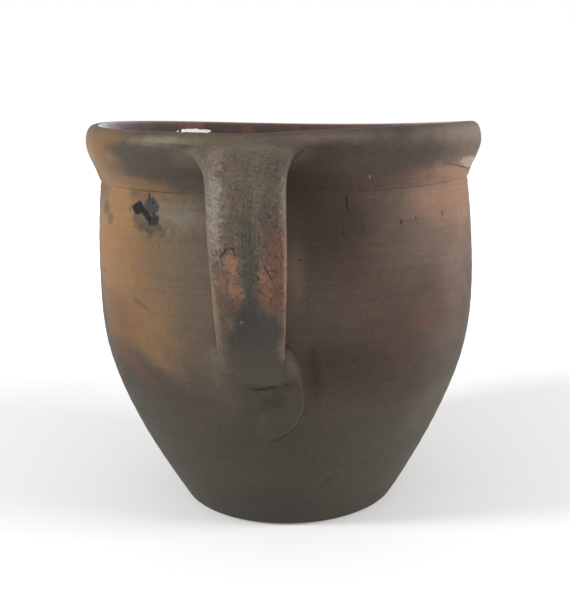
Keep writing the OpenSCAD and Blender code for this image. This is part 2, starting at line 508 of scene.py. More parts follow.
class CrockColours(bpy.types.PropertyGroup):
    """Colours of the fired clay, the smoke on it and the glaze"""

    olive: clay_colour("Olive", "Smoky olive grey of the lower wall", 74, 70, 62)
    # Umber is also laid as painted shadow beside the strap and beside the thumbed clay
    umber: clay_colour("Umber", "Dark brown to the right of the strap", 62, 50, 43)
    brown: clay_colour("Brown", "Pinkish brown of the right side", 80, 65, 57)
    khaki: clay_colour("Khaki", "Greyish brown of the left side", 102, 90, 76)
    tan: clay_colour("Tan", "Bare clay where the flame kept the smoke off", 126, 98, 69)
    buff: clay_colour("Buff", "Paler bare clay", 138, 105, 72)
    # Rose is also laid as the painted highlight along the strap's rounded edges
    rose: clay_colour("Rose", "Pinker bare clay on the right", 146, 111, 92)
    ember: clay_colour("Ember", "Reddish flush in the clay", 107, 69, 54)
    soot: clay_colour("Soot", "Smoke under the rim", 78, 70, 62)
    # Char is also laid as painted shade in the thumb hollow, along the thumbed clay's edge and beside it
    char: clay_colour("Char", "Darkest specks and the splash", 16, 15, 14)
    slate: clay_colour("Slate", "Blue-grey round the splash", 58, 58, 56)
    # Ash is also laid as painted sheen on the strap, a painted highlight along the left rim and a painted reflection
    # under the rim on the right
    ash: clay_colour("Ash", "Pale ash and rough spots", 150, 142, 126)
    # Mauve is also laid as painted light: floor bounce low on the right, and on the thumbed clay's right shoulder
    mauve: clay_colour("Mauve", "Pinkish grey of the rim on the right", 125, 110, 99)
    moss: clay_colour("Moss", "Grey-green of the strap's channel", 64, 61, 50)
    strap_clay: clay_colour("Strap clay", "Grey brown of the strap", 95, 80, 66)
    # Smoke also darkens the strap's lower half, partly as painted shade
    smoke: clay_colour("Smoke", "Dark grey of the strap's lower half", 54, 51, 46)
    pink: clay_colour("Pink", "Pinkish brown round the rubbed places", 118, 89, 75)
    rust: clay_colour("Rust", "Orange clay where the strap is rubbed", 138, 101, 77)
    glaze: clay_colour("Glaze", "Dark red-brown glaze", 60, 35, 27)
    glaze_red: clay_colour("Red glaze", "Redder glaze where it is thin", 106, 59, 47)


class CrockStage(bpy.types.PropertyGroup):
    """Camera and lamps"""

    distance: bpy.props.FloatProperty(
        name="Camera distance", description="Level distance from the pot's axis", default=0.5124, unit="LENGTH",
    )
    height: bpy.props.FloatProperty(
        name="Camera height", description="Height above the floor", default=0.2176, unit="LENGTH",
    )
    swing: bpy.props.FloatProperty(
        name="Camera swing", description="Angle to the right of the handle", default=math.radians(7.5),
        subtype="ANGLE",
    )
    turn: bpy.props.FloatProperty(
        name="Camera turn", description="Angle turned to the right of the pot's axis", default=-0.0016,
        subtype="ANGLE",
    )
    pitch: bpy.props.FloatProperty(
        name="Camera pitch", description="Angle looking down", default=0.2, subtype="ANGLE",
    )
    roll: bpy.props.FloatProperty(
        name="Camera roll", description="Angle that the camera is held off level", default=0.0193, subtype="ANGLE",
    )
    focal: bpy.props.FloatProperty(
        name="Focal length", description="Focal length in image heights", default=1.4763,
    )
    key: bpy.props.FloatProperty(name="Key lamp", description="Power of the left lamp in watts", default=20.6)
    fill: bpy.props.FloatProperty(name="Fill lamp", description="Power of the right lamp in watts", default=17.4)
    room: bpy.props.FloatProperty(name="Room light", description="Strength of the even light", default=0.45)


# Finishes


Mark = namedtuple("Mark", "colour strength across up half_across half_up tilt soft ragged lump depth", defaults=(0,))

# Clouds that smoke and flame left on the wall, widest first, and a few marks of painted light and shadow among them.
# Across is millimetres of arc round from the handle at the belly, up is millimetres of height, and depth is
# millimetres sunk below the skin.
CLOUDS = (
    # The left side, from khaki beside the strap to bare clay at the edge
    Mark("khaki", 0.95, -30, 142, 56, 64, 0, 0.75, 0.14, 34),
    Mark("tan", 0.9, -86, 150, 58, 62, -4, 0.85, 0.14, 26),
    Mark("buff", 0.9, -98, 160, 38, 38, 0, 0.7, 0.2, 20),
    Mark("tan", 0.8, -68, 117, 46, 24, -26, 0.9, 0.24, 18),
    Mark("ember", 0.4, -84, 120, 34, 17, -28, 0.95, 0.24, 14),
    Mark("umber", 0.3, -64, 128, 18, 2.2, -20, 0.95, 0.5, 8),
    Mark("umber", 0.92, -119, 64, 58, 52, -14, 0.85, 0.2, 18),
    Mark("tan", 0.5, -50, 126, 16, 20, -20, 0.95, 0.24, 12),
    Mark("tan", 0.45, -101, 111, 18, 15, -20, 0.95, 0.24, 12),
    Mark("umber", 0.3, -60, 92, 24, 9, -20, 0.95, 0.3, 12),
    # The right side, dark beside the strap and paler to the right
    Mark("brown", 0.95, 84, 146, 78, 84, 0, 0.7, 0.14, 34),
    # Partly dark clay, partly painted shadow that the strap casts on the wall to its right
    Mark("umber", 0.92, 30, 178, 38, 46, 0, 0.8, 0.16, 26),
    Mark("umber", 0.5, 36, 102, 26, 18, -14, 0.9, 0.3, 16),
    Mark("mauve", 0.4, 104, 166, 56, 46, 0, 0.95, 0.16, 22),
    Mark("rose", 0.85, 124, 180, 56, 30, -5, 0.9, 0.16, 20),
    Mark("rose", 0.45, 96, 178, 38, 10, -3, 0.95, 0.2, 14),
    Mark("rose", 0.22, 120, 150, 36, 44, 0, 0.95, 0.2, 26),
    Mark("mauve", 0.2, 114, 112, 30, 60, 0, 0.95, 0.24, 22),
    # Painted light: bounce from the pale floor on the lower right, laid in mauve
    Mark("mauve", 0.85, 116, 44, 50, 50, 0, 0.95, 0.16, 20),
    Mark("umber", 0.6, 56, 100, 48, 30, -8, 0.95, 0.2, 20),
    Mark("ember", 0.4, 88, 118, 12, 9, 0, 0.95, 0.5, 8),
    Mark("khaki", 0.35, 18, 150, 8.5, 30, 0, 0.95, 0.2, 12),
    Mark("pink", 0.2, 18, 146, 7, 26, 0, 0.95, 0.2, 10),
    # The back
    Mark("tan", 0.8, -222, 130, 62, 60, 0, 0.9, 0.3, 30),
    Mark("brown", 0.9, 232, 120, 64, 76, 0, 0.95, 0.2, 30),
    Mark("umber", 0.7, 262, 150, 46, 56, 0, 0.95, 0.2, 30),
)

# Smaller marks that lie over the clouds
WALL_MARKS = (
    # Bare clay of the neck and rim on the far left
    Mark("tan", 0.9, -112, 200, 44, 20, 0, 0.6, 0.2, 16),
    Mark("tan", 0.65, -70, 189.5, 46, 5.8, -7, 0.8, 0.24, 10),
    # Smoke under the rim to the left of the strap, and the paler rim above it
    Mark("soot", 0.95, -30, 198, 48, 8.4, -9, 0.35, 0.1, 12),
    Mark("khaki", 0.85, -24, 211, 60, 5.6, 0, 0.8, 0.16, 14),
    Mark("tan", 0.7, -82, 212, 30, 7, 0, 0.85, 0.2, 12),
    # Painted highlight: a thin pale line of ash along the left rim
    Mark("ash", 0.45, -44, 210.6, 28, 3.6, 0, 0.95, 0.24, 10),
    Mark("khaki", 0.8, -29, 203, 15, 9, -14, 0.95, 0.2, 8),
    Mark("moss", 0.5, -38, 209.0, 17, 1.3, -2, 0.8, 0.5, 5),
    Mark("soot", 0.5, -50, 206.4, 24, 0.7, -1, 0.9, 0.3, 6),
    # Rim to the right of the strap
    Mark("mauve", 0.9, 124, 210, 72, 8.6, 0, 0.9, 0.16, 16),
    Mark("mauve", 0.5, 36, 211.5, 40, 4.6, 0, 0.9, 0.2, 12),
    Mark("soot", 0.5, 62, 199, 48, 11, 0, 0.8, 0.2, 18),
    Mark("slate", 0.35, 72, 204, 62, 16, 0, 0.9, 0.2, 18),
    Mark("soot", 0.35, 104, 198, 30, 6, -6, 0.8, 0.2, 12),
    Mark("rose", 0.6, 118, 190.5, 38, 5.0, -7, 0.7, 0.2, 10),
    # Painted reflection: the pale wedge under the rim near the right edge, where the smoked neck reflects at a grazing
    # angle, laid in ash
    Mark("ash", 0.85, 136, 194.4, 23, 3.4, -5, 0.45, 0.22, 9),
    Mark("char", 0.65, 122, 192.6, 26, 0.5, -8, 0.6, 0.1, 6, 0.15),
    Mark("mauve", 0.22, 20, 204, 8, 8, 20, 0.95, 0.3, 6),
    # Paler clay below the tooled line, and bright clay at the splash
    Mark("ash", 0.28, -45, 174, 36, 12, -3, 0.95, 0.3, 12),
    Mark("buff", 0.3, -52, 181, 34, 5, -4, 0.95, 0.3, 10),
    Mark("buff", 0.95, -84, 178, 20, 14, -12, 0.55, 0.2, 10),
    # Splash of slip to the left of the strap
    Mark("smoke", 0.5, -62, 171, 13.5, 6.4, -14, 0.4, 0.5, 5),
    Mark("smoke", 0.3, -54, 166.5, 12, 4.4, -8, 0.6, 0.6, 4),
    Mark("smoke", 0.25, -46, 170.5, 8, 4.4, 0, 0.7, 0.6, 4),
    Mark("slate", 0.95, -56.8, 178.2, 5.8, 4.8, 0, 0.25, 0.2, 4),
    Mark("char", 0.98, -66.2, 177.2, 5.6, 3.5, 16, 0.3, 0.25, 5, 0.1),
    Mark("char", 0.9, -60.6, 174.2, 6.0, 2.6, -32, 0.35, 0.3, 4, 0.1),
    Mark("char", 0.75, -54.8, 171.6, 5.4, 3.9, -12, 0.45, 0.4, 4, 0.1),
    Mark("char", 0.7, -55.7, 180.2, 1.3, 1.0, 0, 0.6, 0.3, 3),
    Mark("char", 0.8, -58.6, 183.8, 0.8, 2.7, 3, 0.6, 0.3, 3),
    Mark("slate", 0.62, -103.5, 174.4, 9, 5.2, 0, 0.6, 0.4, 6),
    Mark("slate", 0.5, -96, 169, 5.6, 3.6, 0, 0.6, 0.5, 5),
    # Tooled line, darker where smoke gathered in it
    Mark("char", 0.4, -60, 185.6, 46, 0.5, -0.6, 0.6, 0.2, 9),
    Mark("ember", 0.2, -40, 189.6, 34, 0.8, 1, 0.8, 0.3, 9),
    Mark("char", 0.3, 90, 185.4, 66, 0.55, 0.6, 0.6, 0.3, 9),
    # Hairline, pits and flakes
    Mark("char", 0.8, 43.4, 180, 0.42, 5.0, 1, 0.6, 0.35, 5, 0.25),
    Mark("char", 0.5, 44.8, 172, 0.3, 4.0, -6, 0.8, 0.4, 5, 0.15),
    Mark("char", 0.8, 72.4, 169, 0.5, 1.6, 0, 0.5, 0.3, 3, 0.3),
    Mark("char", 0.6, 82, 170, 0.45, 1.3, 8, 0.5, 0.3, 3, 0.3),
    Mark("char", 0.7, 103, 170.8, 0.8, 1.7, 0, 0.5, 0.3, 3, 0.3),
    Mark("char", 0.7, 126, 169.5, 1.0, 1.6, 0, 0.5, 0.3, 3, 0.3),
    Mark("ash", 0.35, 54.5, 191.8, 0.8, 1.3, 0, 0.7, 0.3, 3),
    # Thumbed clay below the strap
    Mark("olive", 0.9, 2, 88, 25, 31, 0, 0.6, 0.15, 12),
    Mark("khaki", 0.3, -14, 92, 9, 22, 0, 0.9, 0.3, 8),
    # Painted light on the thumbed clay's right shoulder
    Mark("mauve", 0.25, 15.5, 103, 4.4, 10, 6, 0.95, 0.2, 5),
    # Painted shade in the thumb hollow
    Mark("char", 0.32, 7, 83.5, 10, 7, -8, 0.95, 0.4, 6),
    # Painted shadow on the wall to the right of the thumbed clay
    Mark("umber", 0.7, 26, 98, 5, 16, 8, 0.9, 0.2, 6),
    Mark("tan", 0.45, 20.4, 73, 0.8, 3.6, -38, 0.6, 0.3, 3),
    # Rubbed and smoked places low on the wall, and painted shadow beside the thumbed clay
    Mark("ember", 0.45, -84, 98, 36, 10, -29, 0.95, 0.24, 12),
    Mark("char", 0.14, -112, 58, 28, 44, -10, 0.95, 0.2, 20),
    Mark("umber", 0.34, 56, 90, 46, 26, -6, 0.95, 0.2, 18),
    # Painted shadow on the wall to the right of the thumbed clay, in char and umber
    Mark("char", 0.25, 27.5, 100, 4.5, 15, 6, 0.9, 0.2, 6),
    Mark("umber", 0.35, 27, 92, 7, 20, 6, 0.95, 0.3, 8),
    Mark("char", 0.2, 30, 13, 15, 1.0, 14, 0.7, 0.2, 8),
    Mark("char", 0.15, 36, 19, 13, 0.9, 16, 0.7, 0.2, 8),
    Mark("char", 0.2, 41, 32, 10, 5, 20, 0.95, 0.4, 6),
    Mark("char", 0.12, -18, 20, 24, 2.4, -8, 0.9, 0.5, 8),
    Mark("slate", 0.25, 0, 16, 96, 26, 0, 0.9, 0.2, 18),
)


def near_strap(mark):
    """Whether a mark of the wall is wide and reaches the strap's root or foot."""
    beside = abs(mark.across + 4) < mark.half_across + 24
    at_root = mark.up + mark.half_up > 192
    at_foot = abs(mark.up - 92) < mark.half_up
    return mark.half_across > 8 and beside and (at_root or at_foot)


# The wall's clouds and marks that the strap takes on where it lies on the wall
ROOT_CLOUDS = tuple(filter(near_strap, CLOUDS))
ROOT_MARKS = tuple(filter(near_strap, WALL_MARKS))

# Marks on the strap: across from its middle line and up is the run along it from the root
STRAP_MARKS = (
    Mark("umber", 0.5, 12, 25, 8, 17, 0, 0.9, 0.3, 8),
    Mark("umber", 0.45, 10.5, 48, 7, 16, 0, 0.9, 0.3, 8),
    Mark("umber", 0.7, 12.6, 70, 7, 24, 0, 0.8, 0.2, 8),
    Mark("mauve", 0.5, -15, 22, 6.5, 20, 0, 0.9, 0.2, 8),
    Mark("mauve", 0.8, -13.6, 46, 4.6, 26, 0, 0.8, 0.2, 8),
    Mark("mauve", 0.4, -8.6, 40, 4.4, 20, 0, 0.95, 0.2, 8),
    Mark("moss", 0.9, 1.6, 68, 5.4, 42, 0, 0.6, 0.16, 8),
    # Darker lower half of the strap: partly darker clay, partly painted shade where the strap faces down
    Mark("smoke", 0.97, 2, 124, 19.5, 51, 0, 0.36, 0.12, 12),
    Mark("mauve", 0.55, 13.4, 116, 4.6, 16, 0, 0.95, 0.3, 6),
    # Rubbed clay on the left ridge
    Mark("tan", 0.55, -16.2, 84, 2.8, 24, 0, 0.8, 0.3, 6),
    Mark("pink", 0.75, -11.0, 74, 6.4, 12, 0, 0.7, 0.4, 6),
    Mark("rust", 0.9, -6.4, 66.5, 4.0, 6.6, 0, 0.5, 0.5, 3),
    Mark("rust", 0.4, -6.8, 73, 3.2, 7, 0, 0.6, 0.5, 3),
    Mark("rust", 0.85, -5.8, 80, 3.8, 6.2, 0, 0.5, 0.5, 3),
    Mark("ember", 0.8, -5.6, 86, 1.9, 7, 2, 0.7, 0.5, 3),
    Mark("umber", 0.4, -9.2, 80, 1.1, 7, 0, 0.8, 0.6, 3),
    Mark("ember", 0.4, -10, 87, 5, 8, 0, 0.9, 0.5, 3),
    Mark("pink", 0.5, -9.8, 96, 2.2, 5, -8, 0.7, 0.7, 3),
    Mark("ash", 0.4, -4.4, 96, 0.9, 1.2, 0, 0.7, 0.5, 2),
    # Rubbed clay on the right ridge
    Mark("ember", 0.7, 13.0, 61, 5.6, 13, 0, 0.8, 0.45, 4),
    Mark("ember", 0.85, 10.6, 76, 7.4, 13.4, 0, 0.55, 0.45, 4),
    Mark("rust", 0.45, 8.0, 73, 4.2, 11, 0, 0.8, 0.7, 2.5),
    Mark("umber", 0.5, 13.6, 79, 2.4, 7, 0, 0.8, 0.5, 3),
    Mark("ember", 0.6, 10.5, 87, 7, 6.5, 0, 0.8, 0.5, 3),
    Mark("pink", 0.45, 17.0, 76, 1.5, 24, 0, 0.8, 0.4, 4),
    # Nicks
    Mark("char", 0.6, -10.2, 23.8, 1.5, 2.0, 0, 0.8, 0.5, 3, 0.2),
    Mark("char", 0.9, -9.3, 61.3, 0.55, 3.6, 37, 0.6, 0.4, 2, 0.6),
    Mark("char", 0.85, -5.1, 60.7, 0.45, 2.2, -20, 0.6, 0.4, 2, 0.6),
    Mark("char", 0.9, 9.0, 69.2, 0.5, 4.8, -25, 0.6, 0.4, 2, 0.6),
    Mark("char", 0.75, 5.0, 73, 0.6, 1.6, 0, 0.6, 0.6, 1.5, 0.3),
    Mark("char", 0.6, 5.4, 79, 0.6, 1.2, 0, 0.6, 0.6, 1.5, 0.3),
    Mark("char", 0.5, 10.2, 84, 0.4, 3.2, 0, 0.7, 0.5, 2, 0.3),
)

# Places on the strap that hands have polished: lower roughness and a beaded bump, with pale ash laid over them as a
# painted sheen
SHEEN_MARKS = (
    Mark("ash", 0.92, -12.0, 44, 3.5, 22, 0, 0.8, 0.5, 3),
    Mark("ash", 0.35, 17.0, 38, 1.5, 14, 0, 0.8, 0.6, 3),
)


def mark_mask(tree, mark, place):
    """Share of a mark at each place of a flat map."""
    inputs = {
        "Place": place,
        "Centre": (mark.across, mark.up, 0),
        "Half size": (mark.half_across, mark.half_up, 1),
        "Tilt": math.radians(mark.tilt),
        "Softness": mark.soft,
        "Raggedness": mark.ragged,
        "Lump size": mark.lump,
    }
    return use_group(tree, stain_group(), inputs)["Mask"]


def lay_marks(tree, marks, place, colour, relief):
    """Lays each mark over the colour so far and sinks it into the relief."""
    colours = bpy.context.scene.crock_colours
    for mark in marks:
        mask = mark_mask(tree, mark, place)
        share = calc(tree, "MULTIPLY", mask, mark.strength)
        colour = blend_colour(tree, share, colour, tuple(getattr(colours, mark.colour)))
        if mark.depth:
            relief = calc(tree, "SUBTRACT", relief, calc(tree, "MULTIPLY", mask, mark.depth))
    return colour, relief


def shade_by(tree, colour, tone):
    """Darkens or lightens a colour by a factor."""
    shade = add_node(tree, "CombineXYZ", {"X": tone, "Y": tone, "Z": tone}).outputs[0]
    return blend_colour(tree, 1.0, colour, shade, "MULTIPLY")


def swell(tree, value, middle, gain):
    """A value's difference from its middle, times a gain."""
    return calc(tree, "MULTIPLY", calc(tree, "SUBTRACT", value, middle), gain)


def stretched_noise(tree, place, stretch, detail=3.0, rough=0.6):
    """Noise drawn out along the axes where stretch is small."""
    return noise_value(tree, vector_calc(tree, "MULTIPLY", place, stretch), 1.0, detail, rough)


def stain_group():
    """Mask of one spot with a soft or ragged edge on a flat map."""
    if "Stain" in bpy.data.node_groups:
        return bpy.data.node_groups["Stain"]
    tree, source, sink = new_group(
        "Stain",
        [
            ("Place", "vector", None),
            ("Centre", "vector", None),
            ("Half size", "vector", None),
            ("Tilt", "value", 0.0),
            ("Softness", "value", 0.5),
            ("Raggedness", "value", 0.2),
            ("Lump size", "value", 10.0),
        ],
        [("Mask", "value")],
    )
    offset = vector_calc(tree, "SUBTRACT", source["Place"], source["Centre"])
    back = calc(tree, "MULTIPLY", source["Tilt"], -1.0)
    turned = add_node(tree, "VectorRotate", {"Vector": offset, "Angle": back}, rotation_type="Z_AXIS").outputs[0]
    share = vector_calc(tree, "DIVIDE", turned, source["Half size"])
    reach = add_node(tree, "VectorMath", {0: share}, operation="LENGTH").outputs["Value"]
    lump = noise_value(tree, source["Place"], calc(tree, "DIVIDE", 1.0, source["Lump size"]), 4.0, 0.6, "2D")
    edge = calc(tree, "ADD", reach, calc(tree, "MULTIPLY", swell(tree, lump, 0.5, 4.0), source["Raggedness"]))
    mask = remap(tree, edge, 1.0, calc(tree, "SUBTRACT", 1.0, source["Softness"]))
    tree.links.new(mask, sink.inputs["Mask"])
    return tree


def grit_group():
    """Masks of the small pits and of the pale grains in coarse clay."""
    if "Grit" in bpy.data.node_groups:
        return bpy.data.node_groups["Grit"]
    tree, source, sink = new_group(
        "Grit",
        [("Place", "vector", None), ("Size", "value", 2.0), ("Bar", "value", 0.66)],
        [("Pits", "value"), ("Grains", "value")],
    )
    fine = calc(tree, "DIVIDE", 1.0, source["Size"])
    for output, shift in (("Pits", 0.0), ("Grains", 31.0)):
        moved = vector_calc(tree, "ADD", source["Place"], (shift, shift, shift))
        specks = noise_value(tree, moved, fine, 1.5, 0.5)
        spot = remap(tree, specks, source["Bar"], calc(tree, "ADD", source["Bar"], 0.05))
        tree.links.new(spot, sink.inputs[output])
    return tree


def clay_ground_group():
    """Bare ground of smoky clay: its colour, its throwing lines, its grain, and a flat map of arc and height."""
    if "Clay ground" in bpy.data.node_groups:
        return bpy.data.node_groups["Clay ground"]
    colours = bpy.context.scene.crock_colours
    tree, source, sink = new_group(
        "Clay ground",
        [("Place", "vector", None), ("Thrown height", "value", 0.0)],
        [("Colour", "colour"), ("Relief", "value"), ("Tone", "value"), ("Map", "vector")],
    )
    place = source["Place"]
    parts = add_node(tree, "SeparateXYZ", {0: place}).outputs
    angle = calc(tree, "ARCTAN2", parts["X"], calc(tree, "MULTIPLY", parts["Y"], -1.0))
    arc = calc(tree, "MULTIPLY", angle, ARC_R / MM)
    height = calc(tree, "MULTIPLY", source["Thrown height"], 1000.0)
    flat = add_node(tree, "CombineXYZ", {"X": arc, "Y": height, "Z": 0.0}).outputs[0]
    cloud = noise_value(tree, place, 0.016, 3.0, 0.5)
    lines = stretched_noise(tree, place, (0.012, 0.012, 0.8))
    grain = noise_value(tree, place, 0.5, 4.0, 0.65)
    colour = blend_colour(tree, remap(tree, cloud, 0.3, 0.75), tuple(colours.olive), tuple(colours.brown))
    relief = calc(tree, "ADD", swell(tree, lines, 0.5, 0.14), swell(tree, grain, 0.5, 0.16))
    tone = calc(tree, "ADD", swell(tree, lines, 0.5, 0.32), calc(tree, "ADD", swell(tree, grain, 0.5, 0.45), 1.0))
    tree.links.new(colour, sink.inputs["Colour"])
    tree.links.new(relief, sink.inputs["Relief"])
    tree.links.new(tone, sink.inputs["Tone"])
    tree.links.new(flat, sink.inputs["Map"])
    return tree


def new_material(name):
    """Starts a material and returns it with its tree and its shader."""
    material = bpy.data.materials.new(name)
    material.use_nodes = True
    tree = material.node_tree
    return material, tree, tree.nodes["Principled BSDF"]


def place_in_millimetres(tree):
    """The place of a point in the pot's own frame."""
    place = vector_calc(tree, "SCALE", add_node(tree, "TexCoord").outputs["Object"])
    place.node.inputs["Scale"].default_value = 1000
    return place


def mark_value(tree, name, output):
    """What the mesh carries on its vertices under that name."""
    return add_node(tree, "Attribute", attribute_name=name).outputs[output]


def finish_shader(tree, shader, colour, rough, relief):
    """Links a colour, a roughness and a relief in millimetres to a material's shader."""
    tree.links.new(colour, shader.inputs["Base Color"])
    tree.links.new(rough, shader.inputs["Roughness"])
    bump = add_node(tree, "Bump", {"Height": relief, "Distance": MM, "Strength": 1.0}).outputs[0]
    tree.links.new(bump, shader.inputs["Normal"])


def wall_clay(tree, place, clouds, marks):
    """Colour and relief of the wall under the given clouds and marks, its throwing tone and its blotches."""
    colours = bpy.context.scene.crock_colours
    thrown = mark_value(tree, HEIGHT_MARK, "Fac")
    ground = use_group(tree, clay_ground_group(), {"Place": place, "Thrown height": thrown})
    colour, relief = lay_marks(tree, clouds, ground["Map"], ground["Colour"], ground["Relief"])
    height = calc(tree, "MULTIPLY", thrown, 1000.0)
    blotch = noise_value(tree, place, 0.045, 4.0, 0.55)
    low = remap(tree, calc(tree, "ADD", height, swell(tree, blotch, 0.5, 50.0)), 108.0, 52.0)
    colour = blend_colour(tree, calc(tree, "MULTIPLY", low, 0.92), colour, tuple(colours.olive))
    worn = remap(tree, height, 6.0, 1.0)
    colour = blend_colour(tree, calc(tree, "MULTIPLY", worn, 0.5), colour, tuple(colours.brown))
    bands = stretched_noise(tree, place, (0.006, 0.006, 0.16), 2.0)
    tone = calc(tree, "ADD", swell(tree, blotch, 0.5, 0.4), calc(tree, "ADD", swell(tree, bands, 0.5, 0.25), 1.0))
    colour = shade_by(tree, colour, tone)
    colour, relief = lay_marks(tree, marks, ground["Map"], colour, relief)
    return colour, relief, ground["Tone"], blotch


def smoked_clay():
    """The material of the wall and the thumbed clay."""
    if "smoked_clay" in bpy.data.materials:
        return bpy.data.materials["smoked_clay"]
    colours = bpy.context.scene.crock_colours
    material, tree, shader = new_material("smoked_clay")
    place = place_in_millimetres(tree)
    colour, relief, ground_tone, blotch = wall_clay(tree, place, CLOUDS, WALL_MARKS)
    grit = use_group(tree, grit_group(), {"Place": place, "Size": 1.5, "Bar": 0.72})
    colour = blend_colour(tree, calc(tree, "MULTIPLY", grit["Pits"], 0.5), colour, tuple(colours.char))
    colour = blend_colour(tree, calc(tree, "MULTIPLY", grit["Grains"], 0.16), colour, tuple(colours.ash))
    relief = calc(tree, "SUBTRACT", relief, calc(tree, "MULTIPLY", grit["Pits"], 0.2))
    # Painted shade in char along the thumbed clay's edge and crease
    painted_shade = calc(tree, "MULTIPLY", mark_value(tree, PAINTED_SHADE_MARK, "Fac"), 0.7)
    colour = blend_colour(tree, painted_shade, colour, tuple(colours.char))
    colour = shade_by(tree, colour, ground_tone)
    finish_shader(tree, shader, colour, remap(tree, blotch, 0.3, 0.7, 0.5, 0.66), relief)
    shader.inputs["Specular IOR Level"].default_value = 0.08
    return material


def handled_clay():
    """The material of the strap, rubbed down to orange clay where a hand holds it."""
    if "handled_clay" in bpy.data.materials:
        return bpy.data.materials["handled_clay"]
    colours = bpy.context.scene.crock_colours
    material, tree, shader = new_material("handled_clay")
    place = place_in_millimetres(tree)
    wall, _, ground_tone, _ = wall_clay(tree, place, ROOT_CLOUDS, ROOT_MARKS)
    wall = shade_by(tree, wall, ground_tone)
    pulled = add_node(tree, "SeparateXYZ", {0: mark_value(tree, STRAP_MARK, "Vector")}).outputs
    across = calc(tree, "MULTIPLY", pulled["X"], 1000.0)
    run = calc(tree, "MULTIPLY", pulled["Y"], 1000.0)
    outer = remap(tree, pulled["Z"], 0.02, 0.3)
    flat = add_node(tree, "CombineXYZ", {"X": across, "Y": run, "Z": 0.0}).outputs[0]

    handled = remap(tree, run, 108.0, 70.0)
    grain = noise_value(tree, place, 0.55, 4.0, 0.62)
    streaks = stretched_noise(tree, flat, (1.1, 0.06, 1.0))
    blotch = noise_value(tree, place, 0.14, 4.0, 0.6)
    coarse = calc(tree, "ADD", 0.5, calc(tree, "MULTIPLY", handled, 0.5))
    rise = calc(tree, "MULTIPLY", swell(tree, grain, 0.5, 0.6), coarse)
    relief = calc(tree, "ADD", swell(tree, streaks, 0.5, 0.35), rise)
    mossy = remap(tree, blotch, 0.35, 0.7, 0.0, 0.6)
    colour = blend_colour(tree, mossy, tuple(colours.strap_clay), tuple(colours.moss))
    colour, relief = lay_marks(tree, STRAP_MARKS, flat, colour, relief)
    # Painted highlight: rose laid along the strap's rounded edges
    edges = calc(tree, "MULTIPLY", remap(tree, pulled["Z"], 0.1, 0.35), remap(tree, pulled["Z"], 0.7, 0.4))
    edges = calc(tree, "MULTIPLY", edges, remap(tree, run, 20.0, 50.0, 0.0, 0.38))
    edges = calc(tree, "MULTIPLY", edges, remap(tree, run, 116.0, 98.0))
    colour = blend_colour(tree, edges, colour, tuple(colours.rose))
    colour = blend_colour(tree, calc(tree, "SUBTRACT", 1.0, outer), colour, tuple(colours.umber))
    spread = calc(tree, "ADD", swell(tree, streaks, 0.5, 0.9), calc(tree, "MULTIPLY", rise, 2.4))
    colour = shade_by(tree, colour, calc(tree, "ADD", 1.0, spread))

    pitted = calc(tree, "MULTIPLY", handled, outer)
    grit = use_group(tree, grit_group(), {"Place": place, "Size": 1.0, "Bar": 0.63})
    pits = calc(tree, "MULTIPLY", grit["Pits"], pitted)
    colour = blend_colour(tree, calc(tree, "MULTIPLY", pits, 0.5), colour, tuple(colours.char))
    grains = calc(tree, "MULTIPLY", grit["Grains"], pitted)
    colour = blend_colour(tree, calc(tree, "MULTIPLY", grains, 0.26), colour, tuple(colours.ash))
    relief = calc(tree, "SUBTRACT", relief, calc(tree, "MULTIPLY", pits, 0.4))

    # Painted sheen: pale ash laid in beads over the polished places, which also get lower roughness and more bump
    sheen = 0.0
    beads = noise_value(tree, place, 1.1, 2.0, 0.5)
    beaded = remap(tree, beads, 0.36, 0.6, 0.35, 1.0)
    for mark in SHEEN_MARKS:
        mask = calc(tree, "MULTIPLY", mark_mask(tree, mark, flat), beaded)
        colour = blend_colour(tree, calc(tree, "MULTIPLY", mask, mark.strength), colour, tuple(colours.ash))
        sheen = calc(tree, "MAXIMUM", sheen, mask)
    relief = calc(tree, "ADD", relief, calc(tree, "MULTIPLY", sheen, swell(tree, beads, 0.5, 1.2)))

    uneven_run = calc(tree, "ADD", run, swell(tree, blotch, 0.5, 10.0))
    own = calc(tree, "MULTIPLY", remap(tree, uneven_run, 2.0, 16.0), remap(tree, uneven_run, 131.0, 104.0))
    wing = remap(tree, calc(tree, "ABSOLUTE", calc(tree, "ADD", across, 4.0)), 22.0, 32.0)
    own = calc(tree, "MULTIPLY", own, calc(tree, "SUBTRACT", 1.0, wing))
    colour = blend_colour(tree, own, wall, colour)
    rough = calc(tree, "SUBTRACT", remap(tree, own, 0.0, 1.0, 0.85, 0.56), calc(tree, "MULTIPLY", sheen, 0.36))
    finish_shader(tree, shader, colour, calc(tree, "ADD", rough, swell(tree, grain, 0.5, 0.4)), relief)
    shader.inputs["Specular IOR Level"].default_value = 0.3
    return material


def lead_glaze():
    """The glossy glaze of the inside, redder where it ran thin."""
    if "lead_glaze" in bpy.data.materials:
        return bpy.data.materials["lead_glaze"]
    colours = bpy.context.scene.crock_colours
    material, tree, shader = new_material("lead_glaze")
    place = place_in_millimetres(tree)
    runs = stretched_noise(tree, place, (0.05, 0.05, 0.012), 4.0)
    colour = blend_colour(tree, remap(tree, runs, 0.42, 0.68), tuple(colours.glaze), tuple(colours.glaze_red))
    specks = use_group(tree, grit_group(), {"Place": place, "Size": 1.6, "Bar": 0.7})
    colour = blend_colour(tree, calc(tree, "MULTIPLY", specks["Pits"], 0.6), colour, tuple(colours.char))
    ripple = noise_value(tree, place, 0.07, 2.0, 0.5)
    relief = calc(tree, "SUBTRACT", swell(tree, ripple, 0.5, 0.8), calc(tree, "MULTIPLY", specks["Pits"], 0.1))
    rough = calc(tree, "ADD", 0.02, calc(tree, "MULTIPLY", runs, 0.03))
    finish_shader(tree, shader, colour, rough, relief)
    shader.inputs["Specular IOR Level"].default_value = 0.45
    return material


# Making of the pieces


